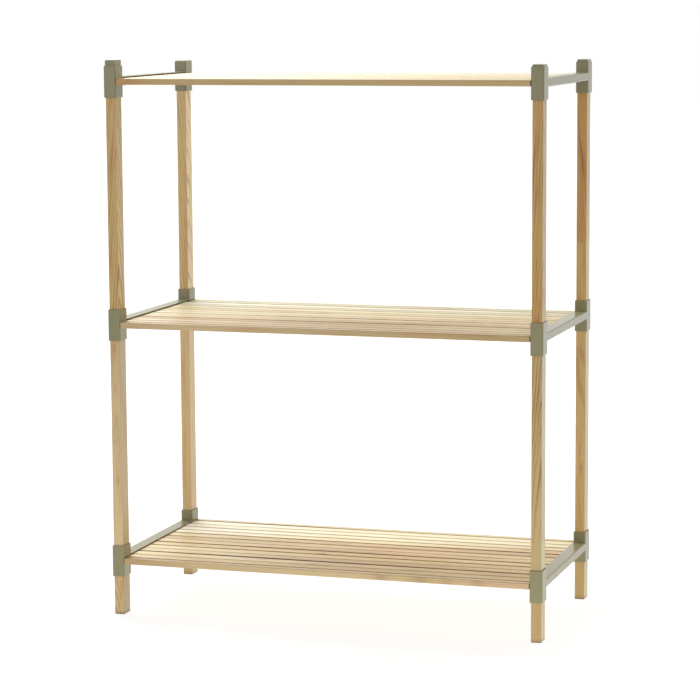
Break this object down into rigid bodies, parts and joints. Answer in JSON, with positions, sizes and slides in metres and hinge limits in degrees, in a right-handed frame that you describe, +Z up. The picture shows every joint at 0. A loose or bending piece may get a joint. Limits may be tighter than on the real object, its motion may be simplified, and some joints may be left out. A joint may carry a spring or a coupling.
{
  "type": "shelving unit",
  "caption": "Free-standing pine shelving unit with open slatted shelves, short rectangular posts and coated steel end frames whose sleeves join the posts.",
  "frame": {"origin": "on the floor, under the middle of the unit", "axes": "+X to the unit's right seen from the front, +Y to the back, +Z up"},
  "size_m": [0.693, 0.33, 0.8687],
  "materials": {
    "pine_posts": "clear-oiled pine, honey-brown, satin",
    "pine_slats": "planed pine, pale cream, matt",
    "coated_steel": "powder-coated sage grey, satin, fine orange peel",
    "plug_plastic": "moulded plastic in the colour of the steel, matt"
  },
  "bodies": {
    "unit": {"leg_front_left": "pine_posts", "leg_front_right": "pine_posts", "leg_back_left": "pine_posts", "leg_back_right": "pine_posts", "middle_post_front_left": "pine_posts", "middle_post_front_right": "pine_posts", "middle_post_back_left": "pine_posts", "middle_post_back_right": "pine_posts", "upper_post_front_left": "pine_posts", "upper_post_front_right": "pine_posts", "upper_post_back_left": "pine_posts", "upper_post_back_right": "pine_posts", "bottom_end_frame_left": "coated_steel", "bottom_end_frame_right": "coated_steel", "middle_end_frame_left": "coated_steel", "middle_end_frame_right": "coated_steel", "top_end_frame_left": "coated_steel", "top_end_frame_right": "coated_steel", "bottom_slat_01": "pine_slats", "bottom_slat_02": "pine_slats", "bottom_slat_03": "pine_slats", "bottom_slat_04": "pine_slats", "bottom_slat_05": "pine_slats", "bottom_slat_06": "pine_slats", "bottom_slat_07": "pine_slats", "bottom_slat_08": "pine_slats", "bottom_slat_09": "pine_slats", "bottom_slat_10": "pine_slats", "bottom_slat_pair_11": "pine_slats", "bottom_slat_13": "pine_slats", "bottom_slat_14": "pine_slats", "middle_slat_01": "pine_slats", "middle_slat_02": "pine_slats", "middle_slat_03": "pine_slats", "middle_slat_04": "pine_slats", "middle_slat_05": "pine_slats", "middle_slat_06": "pine_slats", "middle_slat_07": "pine_slats", "middle_slat_08": "pine_slats", "middle_slat_09": "pine_slats", "middle_slat_10": "pine_slats", "middle_slat_pair_11": "pine_slats", "middle_slat_13": "pine_slats", "middle_slat_14": "pine_slats", "top_slat_01": "pine_slats", "top_slat_02": "pine_slats", "top_slat_03": "pine_slats", "top_slat_04": "pine_slats", "top_slat_05": "pine_slats", "top_slat_06": "pine_slats", "top_slat_07": "pine_slats", "top_slat_08": "pine_slats", "top_slat_pair_09": "pine_slats", "top_slat_pair_11": "pine_slats", "top_slat_13": "pine_slats", "top_slat_14": "pine_slats"},
    "plug_front_left": {"top_plug_front_left": "plug_plastic"},
    "plug_front_right": {"top_plug_front_right": "plug_plastic"},
    "plug_back_left": {"top_plug_back_left": "plug_plastic"},
    "plug_back_right": {"top_plug_back_right": "plug_plastic"}
  },
  "joints": [
    {"name": "plug_slide_front_left", "type": "slide", "parent": "unit", "child": "plug_front_left", "axis": [0, 0, 1], "range_m": [-0.0087, 0.0108]},
    {"name": "plug_slide_front_right", "type": "slide", "parent": "unit", "child": "plug_front_right", "axis": [0, 0, 1], "range_m": [-0.0032, 0.0163]},
    {"name": "plug_slide_back_left", "type": "slide", "parent": "unit", "child": "plug_back_left", "axis": [0, 0, 1], "range_m": [-0.0006, 0.0189]},
    {"name": "plug_slide_back_right", "type": "slide", "parent": "unit", "child": "plug_back_right", "axis": [0, 0, 1], "range_m": [-0.0033, 0.0162]}
  ]
}
